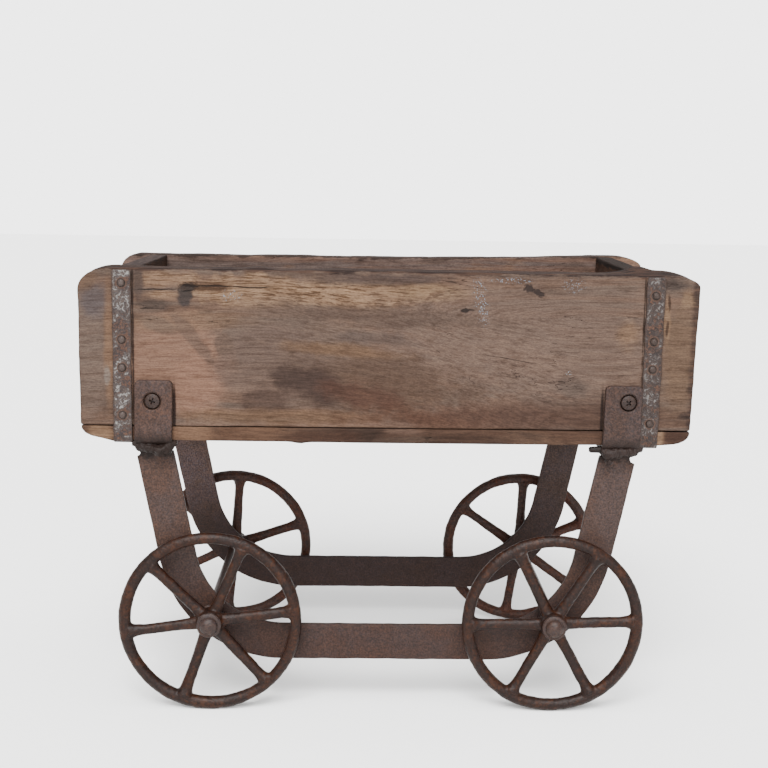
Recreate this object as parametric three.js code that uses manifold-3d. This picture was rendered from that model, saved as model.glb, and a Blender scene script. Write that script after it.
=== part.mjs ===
// A small planter cart: a reclaimed wooden brick mould carried on a welded flat-iron frame
// with four cast spoked wheels. Millimetres, +Z up, +X along the box, -Y the side seen first.
// The origin is on the floor under the middle of the cart.
import * as THREE from "three";
import { mergeVertices } from "three/addons/utils/BufferGeometryUtils.js";
import Module from "manifold-3d";

const wasm = await Module();
wasm.setup();

// Driving dimensions of the wooden box
const BOX_LENGTH = 328;
const BOX_WIDTH = 148;
const BOX_TOP = 242;
const FLOOR_TOP = 157.5;
const FLOOR_UNDER = 149.5;
const PLANK_THICK = 18;
const PLANK_LEFT_CORNER = [13, 13];
const PLANK_RIGHT_CORNER = [24, 9];
const END_BOARD_INNER = 134;
const END_BOARD_THICK = 10.5;
const END_BOARD_TOP = 240.5;
const FLOOR_TAPER_START = 147;

// Hoop-iron straps nailed round the box over the end boards
const STRAP_WIDTH = 10;
const STRAP_THICK = 1.25;
const STRAP_TOP = 239.5;
const NAIL_RADIUS = 1.9;
const NAIL_RISE = 1;

// Flat bar of the frame and its saddles
const BAR_WIDTH = 20;
const BAR_THICK = 3;
const SADDLE_TOP = 182.5;
const SADDLE_BEND = 5;
const SADDLE_CORNER = 3.5;
const SCREW_HOLE_RADIUS = 4.7;
const SCREW_HEAD_RADIUS = 4.1;
const SCREW_HEAD_RISE = 2.75;

// Rails: a U of flat bar bent in its own plane
const RAIL_FACE = 67.5;
const RAIL_UNDER = 25.5;
const RAIL_BEND_INNER = 49;
const LEG_LEAN = THREE.MathUtils.degToRad(11.6);
const LEG_TOP = 142.25;
const WELD_BULGE = 1.6;
const WELD_SHORT = 4.5;

// Wheels and axles
const WHEEL_X = 93.8;
const WHEEL_Y = 76.5;
const WHEEL_RADIUS = 50;
const RIM_ROD_RADIUS = 3;
const HUB_RADIUS = 7;
const HUB_HALF = 6.5;
const SPOKE_RADIUS = 2.8;
const SPOKE_FLARE = 3.8;
const BORE_RADIUS = 3.9;
const AXLE_RADIUS = 3.5;
const AXLE_HEAD_RADIUS = 4.8;
const AXLE_HEAD_RISE = 3;
const WASHER_RADIUS = 6.7;
const RUNNING_GAP = 0.3;
const OUTER_WASHER_THICK = 1.6;

// Facets
const WHEEL_FACETS = 48;
const ROD_FACETS = 8;
const ROUND_FACETS = 24;
const NAIL_FACETS = 10;

const SADDLE_UNDER = FLOOR_UNDER - BAR_THICK;
const HALF_WIDTH = BOX_WIDTH / 2;

// How far each strap, saddle and screw lies from the middle, and the heights of the screws and nails
const SIDES = [
  {
    side: "left", sign: -1, strapX: 140, saddleX: 123.9, screwX: 124.5, screwZ: 171,
    nails: [234, 204, 189, 163.5],
  },
  {
    side: "right", sign: 1, strapX: 142.6, saddleX: 127.2, screwX: 129.8, screwZ: 173,
    nails: [231, 206.5, 191.5, 162],
  },
];

// How far from the middle each rail's two bends have their centres, left and right
const FACES = [
  { face: "front", sign: -1, bends: [54.5, 57.3] },
  { face: "back", sign: 1, bends: [56, 53.7] },
];

// Spoke directions in degrees from +X towards +Z, seen from the front. They are uneven castings.
const SPOKES = {
  front_left: [67, 7.5, -48, -109, -172, 136],
  front_right: [58, 2, -61, -118.5, -179, 116],
  back_left: [86, 19, -38, -96, -154, 141],
  back_right: [87, 22, -36, -99, -155, 145],
};

const WOOD = new THREE.MeshStandardMaterial({ color: 0x7d6350, roughness: 0.85, metalness: 0 });
const BAR_IRON = new THREE.MeshStandardMaterial({ color: 0x54423c, roughness: 0.7, metalness: 0.5 });
const CAST_IRON = new THREE.MeshStandardMaterial({ color: 0x40312c, roughness: 0.6, metalness: 0.6 });
const HOOP_IRON = new THREE.MeshStandardMaterial({ color: 0x6b625f, roughness: 0.6, metalness: 0.6 });

const cart = new THREE.Group();

function addMesh(name, geometry, material, parent = cart) {
  const mesh = new THREE.Mesh(geometry, material);
  mesh.name = name;
  parent.add(mesh);
  return mesh;
}

// Closed solids for cutting and joining
function toSolid(geometry) {
  const bare = geometry.index ? geometry.toNonIndexed() : geometry.clone();
  bare.deleteAttribute("normal");
  bare.deleteAttribute("uv");
  const welded = mergeVertices(bare, 1e-4);
  const corners = welded.index.array;
  const triVerts = [];
  for (let i = 0; i < corners.length; i += 3) {
    const [a, b, c] = [corners[i], corners[i + 1], corners[i + 2]];
    if (a !== b && b !== c && c !== a) triVerts.push(a, b, c);
  }
  return new wasm.Manifold(new wasm.Mesh({
    numProp: 3,
    vertProperties: Float32Array.from(welded.attributes.position.array),
    triVerts: Uint32Array.from(triVerts),
  }));
}

function toGeometry(solid) {
  const mesh = solid.getMesh();
  const geometry = new THREE.BufferGeometry();
  geometry.setAttribute("position", new THREE.BufferAttribute(mesh.vertProperties, 3));
  geometry.setIndex(new THREE.BufferAttribute(mesh.triVerts, 1));
  geometry.computeVertexNormals();
  return geometry;
}

// A shape drawn in X and Z, made thick along Y from yLow to yHigh
function slabXZ(shape, yLow, yHigh, curveSegments = 12) {
  const geometry = new THREE.ExtrudeGeometry(shape, {
    depth: yHigh - yLow,
    bevelEnabled: false,
    curveSegments,
  });
  geometry.rotateX(Math.PI / 2);
  geometry.translate(0, yHigh, 0);
  return geometry;
}

// A shape drawn in Y and Z, made thick along X about the middle
function slabYZ(shape, width, curveSegments = 6) {
  const geometry = new THREE.ExtrudeGeometry(shape, {
    depth: width,
    bevelEnabled: false,
    curveSegments,
  });
  geometry.rotateX(Math.PI / 2);
  geometry.rotateZ(Math.PI / 2);
  geometry.translate(-width / 2, 0, 0);
  return geometry;
}

// A disc or ring about the Y axis from a list of [radius, y] points
function turned(profile, facets = ROUND_FACETS, start = 0) {
  const points = profile.map(([radius, y]) => new THREE.Vector2(radius, y));
  return new THREE.LatheGeometry(points, facets, start, Math.PI * 2);
}

function ring(inner, outer, yLow, yHigh) {
  return turned([[inner, yLow], [outer, yLow], [outer, yHigh], [inner, yHigh], [inner, yLow]]);
}

// Wooden box
function plankShape() {
  const end = BOX_LENGTH / 2;
  const [leftRun, leftDrop] = PLANK_LEFT_CORNER;
  const [rightRun, rightDrop] = PLANK_RIGHT_CORNER;
  const shape = new THREE.Shape();
  shape.moveTo(-end, FLOOR_TOP);
  shape.lineTo(end, FLOOR_TOP);
  shape.lineTo(end, BOX_TOP - rightDrop);
  shape.absellipse(end - rightRun, BOX_TOP - rightDrop, rightRun, rightDrop, 0, Math.PI / 2, false, 0);
  shape.lineTo(-end + leftRun, BOX_TOP);
  shape.absellipse(-end + leftRun, BOX_TOP - leftDrop, leftRun, leftDrop, Math.PI / 2, Math.PI, false, 0);
  shape.closePath();
  return shape;
}

function floorShape() {
  const end = BOX_LENGTH / 2 - 0.5;
  const shoulder = FLOOR_UNDER + 5.5;
  const toe = FLOOR_UNDER + 1.5;
  const shape = new THREE.Shape();
  shape.moveTo(-end, FLOOR_TOP);
  shape.lineTo(-end, shoulder);
  shape.quadraticCurveTo(-end + 0.5, toe + 0.5, -end + 7, toe);
  shape.lineTo(-FLOOR_TAPER_START, FLOOR_UNDER);
  shape.lineTo(FLOOR_TAPER_START, FLOOR_UNDER);
  shape.lineTo(end - 7, toe);
  shape.quadraticCurveTo(end - 0.5, toe + 0.5, end, shoulder);
  shape.lineTo(end, FLOOR_TOP);
  shape.closePath();
  return shape;
}

function addBox() {
  addMesh("floor_board", slabXZ(floorShape(), -HALF_WIDTH, HALF_WIDTH, 4), WOOD);
  for (const { face, sign } of FACES) {
    const outer = sign * HALF_WIDTH;
    const inner = sign * (HALF_WIDTH - PLANK_THICK);
    const plank = slabXZ(plankShape(), Math.min(outer, inner), Math.max(outer, inner), 8);
    addMesh(`${face}_plank`, plank, WOOD);
  }
  const boardWidth = BOX_WIDTH - 2 * PLANK_THICK;
  const boardHeight = END_BOARD_TOP - FLOOR_TOP;
  for (const { side, sign } of SIDES) {
    const board = addMesh(`${side}_end_board`,
      new THREE.BoxGeometry(END_BOARD_THICK, boardWidth, boardHeight), WOOD);
    board.position.set(sign * (END_BOARD_INNER + END_BOARD_THICK / 2), 0, FLOOR_TOP + boardHeight / 2);
  }
}

// A U that clasps the box from below, drawn in Y and Z
function claspShape(top, thick, bend) {
  const inside = HALF_WIDTH;
  const outside = HALF_WIDTH + thick;
  const under = FLOOR_UNDER - thick;
  const shape = new THREE.Shape();
  shape.moveTo(-outside, top);
  shape.lineTo(-outside, under + bend);
  shape.absarc(-outside + bend, under + bend, bend, Math.PI, Math.PI * 1.5, false);
  shape.lineTo(outside - bend, under);
  shape.absarc(outside - bend, under + bend, bend, -Math.PI / 2, 0, false);
  shape.lineTo(outside, top);
  shape.lineTo(inside, top);
  shape.lineTo(inside, FLOOR_UNDER);
  shape.lineTo(-inside, FLOOR_UNDER);
  shape.lineTo(-inside, top);
  shape.closePath();
  return shape;
}

function nailHead(sign, z) {
  const sunk = 0.4;
  const dome = turned([
    [0, -sunk],
    [NAIL_RADIUS, -sunk],
    [NAIL_RADIUS, NAIL_RISE * 0.35],
    [NAIL_RADIUS * 0.62, NAIL_RISE],
    [0, NAIL_RISE],
  ], NAIL_FACETS);
  if (sign < 0) dome.rotateZ(Math.PI);
  dome.translate(0, sign * (HALF_WIDTH + STRAP_THICK), z);
  return toSolid(dome);
}

function addStraps() {
  const clasp = slabYZ(claspShape(STRAP_TOP, STRAP_THICK, STRAP_THICK), STRAP_WIDTH);
  for (const { side, sign, strapX, nails } of SIDES) {
    let strap = toSolid(clasp);
    for (const face of FACES) {
      for (const z of nails) strap = strap.add(nailHead(face.sign, z));
    }
    const mesh = addMesh(`${side}_strap`, toGeometry(strap), HOOP_IRON);
    mesh.position.x = sign * strapX;
  }
}

// Saddles of flat bar that carry the box, screwed to its planks through a hole in each tab
function tabOutline() {
  const half = BAR_WIDTH / 2;
  const r = SADDLE_CORNER;
  const shape = new THREE.Shape();
  shape.moveTo(-half, SADDLE_UNDER - 1);
  shape.lineTo(half, SADDLE_UNDER - 1);
  shape.lineTo(half, SADDLE_TOP - r);
  shape.absarc(half - r, SADDLE_TOP - r, r, 0, Math.PI / 2, false);
  shape.lineTo(-half + r, SADDLE_TOP);
  shape.absarc(-half + r, SADDLE_TOP - r, r, Math.PI / 2, Math.PI, false);
  shape.closePath();
  return shape;
}

function addSaddles() {
  const reach = HALF_WIDTH + BAR_THICK + 1;
  const clasp = toSolid(slabYZ(claspShape(SADDLE_TOP, BAR_THICK, SADDLE_BEND), BAR_WIDTH));
  const outline = toSolid(slabXZ(tabOutline(), -reach, reach, 4));
  for (const { side, sign, saddleX, screwX, screwZ } of SIDES) {
    const drill = turned([[0, -reach], [SCREW_HOLE_RADIUS, -reach], [SCREW_HOLE_RADIUS, reach], [0, reach]]);
    drill.translate(sign * (screwX - saddleX), 0, screwZ);
    const saddle = clasp.intersect(outline).subtract(toSolid(drill));
    const mesh = addMesh(`${side}_saddle`, toGeometry(saddle), BAR_IRON);
    mesh.position.x = sign * saddleX;
  }
}

// Cross-slotted screw head whose slots are cut along the diagonals
function screwHead() {
  const slotLength = 4.6;
  const slotWidth = 0.9;
  const slotDepth = 1.2;
  const head = turned([
    [0, 0],
    [SCREW_HEAD_RADIUS - 0.6, 0],
    [SCREW_HEAD_RADIUS, 1.2],
    [SCREW_HEAD_RADIUS, SCREW_HEAD_RISE - 0.6],
    [SCREW_HEAD_RADIUS - 0.8, SCREW_HEAD_RISE - 0.1],
    [0, SCREW_HEAD_RISE],
  ]);
  let solid = toSolid(head);
  for (const turn of [Math.PI / 4, -Math.PI / 4]) {
    const slot = new THREE.BoxGeometry(slotLength, slotDepth * 2, slotWidth);
    slot.rotateY(turn);
    slot.translate(0, SCREW_HEAD_RISE, 0);
    solid = solid.subtract(toSolid(slot));
  }
  return toGeometry(solid);
}

function addScrews() {
  const head = screwHead();
  for (const { face, sign: faceSign } of FACES) {
    for (const { side, sign, screwX, screwZ } of SIDES) {
      const mesh = addMesh(`${face}_${side}_screw`, head, BAR_IRON);
      if (faceSign < 0) mesh.rotation.z = Math.PI;
      mesh.position.set(sign * screwX, faceSign * (HALF_WIDTH + RUNNING_GAP / 3), screwZ);
    }
  }
}

// Rails. The inner and the outer edge of each bend are arcs about one centre, and the legs leave
// them at a tangent.
function legReach(radius, z) {
  const startZ = RAIL_UNDER + RAIL_BEND_INNER + BAR_WIDTH - radius * Math.sin(LEG_LEAN);
  return radius * Math.cos(LEG_LEAN) + (z - startZ) * Math.tan(LEG_LEAN);
}

function railShape(bends) {
  const inner = RAIL_BEND_INNER;
  const outer = inner + BAR_WIDTH;
  const centreZ = RAIL_UNDER + outer;
  const down = -Math.PI / 2;
  const [left, right] = SIDES.map(({ sign }, i) => sign * bends[i]);
  const shape = new THREE.Shape();
  shape.moveTo(left, RAIL_UNDER);
  shape.lineTo(right, RAIL_UNDER);
  shape.absarc(right, centreZ, outer, down, -LEG_LEAN, false);
  shape.lineTo(right + legReach(outer, LEG_TOP), LEG_TOP);
  shape.lineTo(right + legReach(inner, LEG_TOP), LEG_TOP);
  shape.absarc(right, centreZ, inner, -LEG_LEAN, down, true);
  shape.lineTo(left, centreZ - inner);
  shape.absarc(left, centreZ, inner, down, LEG_LEAN - Math.PI, true);
  shape.lineTo(left - legReach(inner, LEG_TOP), LEG_TOP);
  shape.lineTo(left - legReach(outer, LEG_TOP), LEG_TOP);
  shape.absarc(left, centreZ, outer, LEG_LEAN - Math.PI, down, false);
  return shape;
}

// The weld between a leg's cut top and its saddle: a bead that stops short of the outer corner
function weldBead(sign, legX) {
  const length = BAR_WIDTH - WELD_SHORT;
  const half = BAR_THICK / 2 + WELD_BULGE;
  const root = LEG_TOP - WELD_BULGE * 1.4;
  const shape = new THREE.Shape();
  shape.moveTo(-half * 0.55, root);
  shape.lineTo(half * 0.55, root);
  shape.lineTo(half, LEG_TOP);
  shape.lineTo(half, SADDLE_UNDER);
  shape.lineTo(-half, SADDLE_UNDER);
  shape.lineTo(-half, LEG_TOP);
  shape.closePath();
  const bead = slabYZ(shape, length);
  bead.translate(legX - sign * WELD_SHORT / 3, 0, 0);
  return toSolid(bead);
}

function addRails() {
  const legMid = legReach(RAIL_BEND_INNER + BAR_WIDTH / 2, LEG_TOP);
  for (const { face, sign: faceSign, bends } of FACES) {
    let rail = toSolid(slabXZ(railShape(bends), -BAR_THICK / 2, BAR_THICK / 2, 12));
    for (const [i, { sign }] of SIDES.entries()) {
      const drill = turned([[0, -BAR_THICK], [BORE_RADIUS, -BAR_THICK], [BORE_RADIUS, BAR_THICK], [0, BAR_THICK]]);
      drill.translate(sign * WHEEL_X, 0, WHEEL_RADIUS);
      rail = rail.add(weldBead(sign, sign * (bends[i] + legMid))).subtract(toSolid(drill));
    }
    const mesh = addMesh(`${face}_rail`, toGeometry(rail), BAR_IRON);
    mesh.position.y = faceSign * (RAIL_FACE - BAR_THICK / 2);
  }
}

// Axles with peened round ends, and the washers each side of every hub
const HUB_OUTER = WHEEL_Y + HUB_HALF;
const HUB_INNER = WHEEL_Y - HUB_HALF;
const WASHER_OUTER = HUB_OUTER + RUNNING_GAP + OUTER_WASHER_THICK;
const AXLE_SHOULDER = WASHER_OUTER + RUNNING_GAP;

function addAxles() {
  const halfProfile = [
    [AXLE_RADIUS, AXLE_SHOULDER],
    [AXLE_HEAD_RADIUS, AXLE_SHOULDER],
    [AXLE_HEAD_RADIUS * 0.9, AXLE_SHOULDER + AXLE_HEAD_RISE * 0.55],
    [AXLE_HEAD_RADIUS * 0.55, AXLE_SHOULDER + AXLE_HEAD_RISE * 0.9],
    [0, AXLE_SHOULDER + AXLE_HEAD_RISE],
  ];
  const profile = [...halfProfile].reverse().map(([r, y]) => [r, -y]).concat(halfProfile);
  for (const { side, sign } of SIDES) {
    const mesh = addMesh(`${side}_axle`, turned(profile), BAR_IRON);
    mesh.position.set(sign * WHEEL_X, 0, WHEEL_RADIUS);
  }
}

function addWashers() {
  const outer = ring(BORE_RADIUS, WASHER_RADIUS, HUB_OUTER + RUNNING_GAP, WASHER_OUTER);
  const inner = ring(BORE_RADIUS, WASHER_RADIUS, RAIL_FACE + RUNNING_GAP, HUB_INNER - RUNNING_GAP);
  for (const { face, sign: faceSign } of FACES) {
    for (const { side, sign } of SIDES) {
      for (const [kind, geometry] of [["outer", outer], ["inner", inner]]) {
        const mesh = addMesh(`${face}_${side}_${kind}_washer`, geometry, BAR_IRON);
        if (faceSign < 0) mesh.rotation.z = Math.PI;
        mesh.position.set(sign * WHEEL_X, 0, WHEEL_RADIUS);
      }
    }
  }
}

// One-piece cast wheel: a round rim, six flared round spokes and a bored hub
function rimSolid() {
  const halfStep = Math.PI / WHEEL_FACETS;
  const grow = 1 / Math.cos(halfStep);
  const rodCorner = RIM_ROD_RADIUS / Math.cos(Math.PI / ROD_FACETS);
  const profile = [];
  for (let i = 0; i <= ROD_FACETS; i += 1) {
    const turn = ((i + 0.5) / ROD_FACETS) * Math.PI * 2;
    const radius = WHEEL_RADIUS - RIM_ROD_RADIUS + rodCorner * Math.cos(turn);
    profile.push([radius * grow, rodCorner * Math.sin(turn)]);
  }
  return toSolid(turned(profile, WHEEL_FACETS, halfStep));
}

function spokeSolid(degrees) {
  const rimMid = WHEEL_RADIUS - RIM_ROD_RADIUS;
  const rimInner = rimMid - RIM_ROD_RADIUS;
  const spoke = turned([
    [0, HUB_RADIUS - SPOKE_FLARE],
    [SPOKE_FLARE, HUB_RADIUS - SPOKE_FLARE],
    [SPOKE_FLARE, HUB_RADIUS],
    [SPOKE_RADIUS, HUB_RADIUS + 2 * SPOKE_FLARE],
    [SPOKE_RADIUS, rimInner - 2 * SPOKE_FLARE],
    [SPOKE_FLARE, rimInner + 1],
    [0, rimMid],
  ], ROD_FACETS);
  spoke.rotateZ(-Math.PI / 2);
  spoke.rotateY(-THREE.MathUtils.degToRad(degrees));
  return toSolid(spoke);
}

function wheelGeometry(spokeAngles) {
  const hub = turned([
    [0, -HUB_HALF],
    [HUB_RADIUS - 1, -HUB_HALF],
    [HUB_RADIUS, -HUB_HALF + 1.5],
    [HUB_RADIUS, HUB_HALF - 1.5],
    [HUB_RADIUS - 1, HUB_HALF],
    [0, HUB_HALF],
  ]);
  const bore = turned([[0, -HUB_HALF - 1], [BORE_RADIUS, -HUB_HALF - 1], [BORE_RADIUS, HUB_HALF + 1], [0, HUB_HALF + 1]]);
  let wheel = rimSolid().add(toSolid(hub));
  for (const degrees of spokeAngles) wheel = wheel.add(spokeSolid(degrees));
  return toGeometry(wheel.subtract(toSolid(bore)));
}

function addWheels() {
  for (const { face, sign: faceSign } of FACES) {
    for (const { side, sign } of SIDES) {
      const mesh = addMesh(`${face}_${side}_wheel`, wheelGeometry(SPOKES[`${face}_${side}`]), CAST_IRON);
      mesh.position.set(sign * WHEEL_X, faceSign * WHEEL_Y, WHEEL_RADIUS);
    }
  }
}

addBox();
addStraps();
addSaddles();
addScrews();
addRails();
addAxles();
addWashers();
addWheels();

export default cart;
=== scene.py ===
import math

import bmesh
import bpy
from mathutils import Matrix, Vector, noise


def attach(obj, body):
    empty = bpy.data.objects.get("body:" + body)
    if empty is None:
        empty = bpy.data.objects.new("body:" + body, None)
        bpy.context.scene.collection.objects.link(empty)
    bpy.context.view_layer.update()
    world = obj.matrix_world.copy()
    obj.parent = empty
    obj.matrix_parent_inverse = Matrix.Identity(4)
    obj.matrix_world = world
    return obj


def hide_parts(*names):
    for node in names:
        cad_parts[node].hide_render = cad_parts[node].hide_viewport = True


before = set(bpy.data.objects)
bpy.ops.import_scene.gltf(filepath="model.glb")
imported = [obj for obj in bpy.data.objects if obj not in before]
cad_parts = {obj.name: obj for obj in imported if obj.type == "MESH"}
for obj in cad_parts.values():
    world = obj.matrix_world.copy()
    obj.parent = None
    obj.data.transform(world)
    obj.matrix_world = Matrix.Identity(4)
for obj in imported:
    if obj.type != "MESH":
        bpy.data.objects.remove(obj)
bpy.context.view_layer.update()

# Shapes are drawn in millimetres and made into metres at the end. X runs along the box, -Y is the
# near side and Z is up, as in the frame.
MM = 0.001

# Wooden box
BOX_LENGTH = 328
HALF_WIDTH = 74
BOX_TOP = 242
FLOOR_TOP = 157.5
FLOOR_UNDER = 149.5
PLANK_THICK = 18
END_BOARD_INNER = 134
END_BOARD_THICK = 10.5
END_BOARD_TOP = 241.8

# Iron on the box
STRAP_WIDTH = 10
STRAP_THICK = 1.25
STRAP_TOP = 240.8
SADDLE_TOP = 182.5
SADDLE_BEND = 6
BAR_WIDTH = 20
BAR_THICK = 3
SCREW_HOLE_RADIUS = 4.7
SCREW_HOLE_FLARE = 0.7
SCREW_HEAD_RADIUS = 4.1

# Rails
RAIL_MID_Y = 66
RAIL_UNDER = 25.5
RAIL_BEND_RADIUS = 59
LEG_LEAN = math.radians(11.6)
LEG_TOP = 142.25

# Wheels
WHEEL_X = 93.8
WHEEL_Y = 76.5
WHEEL_RADIUS = 50
RIM_ROD_RADIUS = 3.35
HUB_RADIUS = 6.9
HUB_HALF = 6.4
AXLE_RADIUS = 3.5
AXLE_HEAD_RADIUS = 4.8
AXLE_HEAD_RISE = 3.1
AXLE_SHOULDER = 85.2
WASHER_RADIUS = 6.7
WASHER_BORE = 3.9

SIDES = {"left": -1, "right": 1}
FACES = {"front": -1, "back": 1}
STRAPS = {
    "left": {"x": -140, "lean": 0.2, "nails": (234, 204, 189, 163.5)},
    "right": {"x": 142.6, "lean": 0.9, "nails": (231, 206.5, 191.5, 162)},
}
SADDLES = {"left": -123.9, "right": 127.2}
RAIL_BENDS = {"front": {"left": -54.5, "right": 57.9}, "back": {"left": -56, "right": 53.7}}

# Place of each screw and how far its cross is turned
SCREWS = {"left": (-124.2, 171.3, 20), "right": (130.5, 173.4, 42)}

# Spoke directions in degrees from +X towards +Z, as seen from the near side
SPOKES = {
    "front_left": (67, 7.5, -48, -109, -172, 136),
    "front_right": (58, 2, -61, -118.5, -179, 116),
    "back_left": (86, 19, -38, -96, -154, 141),
    "back_right": (87, 22, -36, -99, -155, 145),
}


# The studio light is strong and its look pales every colour, so surfaces are painted darker than the
# colour codes, which say how they look in the picture.
PAINT_DEPTH = (0.255, 0.275, 0.285)
PAINT_CONTRAST = 1.08


def linear(code):
    """The surface colour that looks like the usual six-figure code in the studio light."""
    parts = [int(code[i:i + 2], 16) / 255 for i in (1, 3, 5)]
    parts = [c / 12.92 if c <= 0.04045 else ((c + 0.055) / 1.055) ** 2.4 for c in parts]
    return [depth * c ** PAINT_CONTRAST for depth, c in zip(PAINT_DEPTH, parts)] + [1.0]


# Materials


class Shader:
    """Builds the nodes of one material. An input is a number, a colour code or another output."""

    def __init__(self, name):
        self.material = bpy.data.materials.new(name)
        self.material.use_nodes = True
        self.tree = self.material.node_tree
        self.bsdf = self.tree.nodes["Principled BSDF"]
        place = self.node("ShaderNodeTexCoord").outputs["Object"]
        self.place = self.vector("SCALE", place, scale=1 / MM)
        axes = self.node("ShaderNodeSeparateXYZ", Vector=self.place).outputs
        self.x, self.y, self.z = axes

    def put(self, socket, value):
        if isinstance(value, bpy.types.NodeSocket):
            self.tree.links.new(value, socket)
        elif isinstance(value, str):
            socket.default_value = linear(value)
        else:
            socket.default_value = value

    def node(self, kind, settings=None, **inputs):
        made = self.tree.nodes.new(kind)
        for key, value in (settings or {}).items():
            setattr(made, key, value)
        for key, value in inputs.items():
            self.put(made.inputs[key], value)
        return made

    def vector(self, operation, a, b=None, scale=None):
        made = self.node("ShaderNodeVectorMath", {"operation": operation})
        self.put(made.inputs[0], a)
        if b is not None:
            self.put(made.inputs[1], b)
        if scale is not None:
            self.put(made.inputs["Scale"], scale)
        return made.outputs["Value" if operation == "LENGTH" else "Vector"]

    def math(self, operation, a, b=0.0, clamp=False):
        made = self.node("ShaderNodeMath", {"operation": operation, "use_clamp": clamp})
        self.put(made.inputs[0], a)
        self.put(made.inputs[1], b)
        return made.outputs[0]

    def plus(self, a, b):
        return self.math("ADD", a, b)

    def minus(self, a, b):
        return self.math("SUBTRACT", a, b)

    def times(self, a, b):
        return self.math("MULTIPLY", a, b)

    def swing(self, source, reach):
        """A noise moved to lie round nought and stretched to the reach."""
        return self.times(self.minus(source, 0.5), reach)

    def step(self, value, low, high, to_low=0.0, to_high=1.0):
        """A smooth step: to_low where value is under low, to_high where it is over high."""
        made = self.node("ShaderNodeMapRange", {"interpolation_type": "SMOOTHSTEP"})
        for key, number in (("Value", value), ("From Min", low), ("From Max", high),
                            ("To Min", to_low), ("To Max", to_high)):
            self.put(made.inputs[key], number)
        return made.outputs[0]

    def noise(self, size, detail=3.0, rough=0.5, warp=0.0, shift=0.0, place=None):
        """Noise whose features are about size millimetres, a number or one for each axis."""
        sizes = (size, size, size) if isinstance(size, (int, float)) else size
        spot = self.vector("DIVIDE", place or self.place, sizes)
        spot = self.vector("ADD", spot, (shift, shift * 1.7, shift * 2.3))
        made = self.node("ShaderNodeTexNoise", Vector=spot, Scale=1.0, Detail=detail,
                         Roughness=rough, Distortion=warp)
        return made.outputs[0]

    def blend(self, amount, a, b, kind="MIX"):
        made = self.node("ShaderNodeMix", {"data_type": "RGBA", "blend_type": kind})
        self.put(made.inputs[0], amount)
        self.put(made.inputs[6], a)
        self.put(made.inputs[7], b)
        return made.outputs[2]

    def tint(self, amount, color, red, green, blue):
        """Multiplies a colour where amount is 1 and leaves it where amount is 0."""
        return self.blend(amount, color, (red, green, blue, 1), "MULTIPLY")

    def mottled(self, color, source, low, dark, high, light):
        """Darkens a colour where the source is low and lightens it where it is high."""
        color = self.tint(self.step(source, *low), color, *dark)
        return self.tint(self.step(source, *high), color, *light)

    def both(self, a, b):
        return self.math("MULTIPLY", a, b, clamp=True)

    def spot(self, x, z, half_x, half_z, soft, ragged, rough, turn):
        """An oval patch seen from the front, turned some degrees. rough is noise that frays its edge."""
        away = self.vector("SUBTRACT", self.place, (x, 0, z))
        if turn:
            away = self.node("ShaderNodeVectorRotate", {"rotation_type": "Y_AXIS"}, Vector=away,
                             Angle=math.radians(turn)).outputs[0]
        away = self.vector("MULTIPLY", away, (1 / half_x, 0, 1 / half_z))
        reach = self.vector("LENGTH", away)
        reach = self.plus(reach, self.times(rough, ragged * 4))
        return self.step(reach, 1 - soft, 1 + soft, 1.0, 0.0)

    def crack(self, x0, z0, x1, z1, half=0.35, wander=2.0):
        """A thin split between two points of a board's face, open in the middle."""
        slope = (z1 - z0) / (x1 - x0)
        line = self.plus(self.times(self.minus(self.x, x0), slope), z0)
        drift = self.noise((18, 60, 60), 4, 0.6, shift=z0 * 0.31)
        line = self.plus(line, self.swing(drift, wander * 2))
        off = self.math("ABSOLUTE", self.minus(self.z, line))
        middle, span = (x0 + x1) / 2, abs(x1 - x0) / 2
        along = self.math("ABSOLUTE", self.minus(self.x, middle))
        wide = self.step(along, span * 0.3, span, half, 0.02)
        inside = self.step(self.math("DIVIDE", off, wide), 0.5, 1.6, 1.0, 0.0)
        return self.both(inside, self.step(along, span - 1, span, 1.0, 0.0))

    def bump(self, height, distance, strength=1.0):
        """A bump of that many millimetres; strength stays fixed on the socket."""
        made = self.node("ShaderNodeBump", Height=height, Distance=distance * MM, Strength=strength)
        return made.outputs["Normal"]

    def finish(self, color, rough, normal, metallic=0.0, specular=0.4):
        self.put(self.bsdf.inputs["Base Color"], color)
        self.put(self.bsdf.inputs["Roughness"], rough)
        self.put(self.bsdf.inputs["Normal"], normal)
        self.put(self.bsdf.inputs["Metallic"], metallic)
        self.put(self.bsdf.inputs["Specular IOR Level"], specular)
        return self.material


# Marks on the near plank: middle, half sizes, colour, strength, turn, softness and raggedness
def mark(x, z, half_x, half_z, color, amount=0.8, turn=0, soft=0.45, ragged=0.3):
    return {"at": (x, z), "half": (half_x, half_z), "turn": turn, "color": color, "amount": amount,
            "soft": soft, "ragged": ragged}


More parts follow.
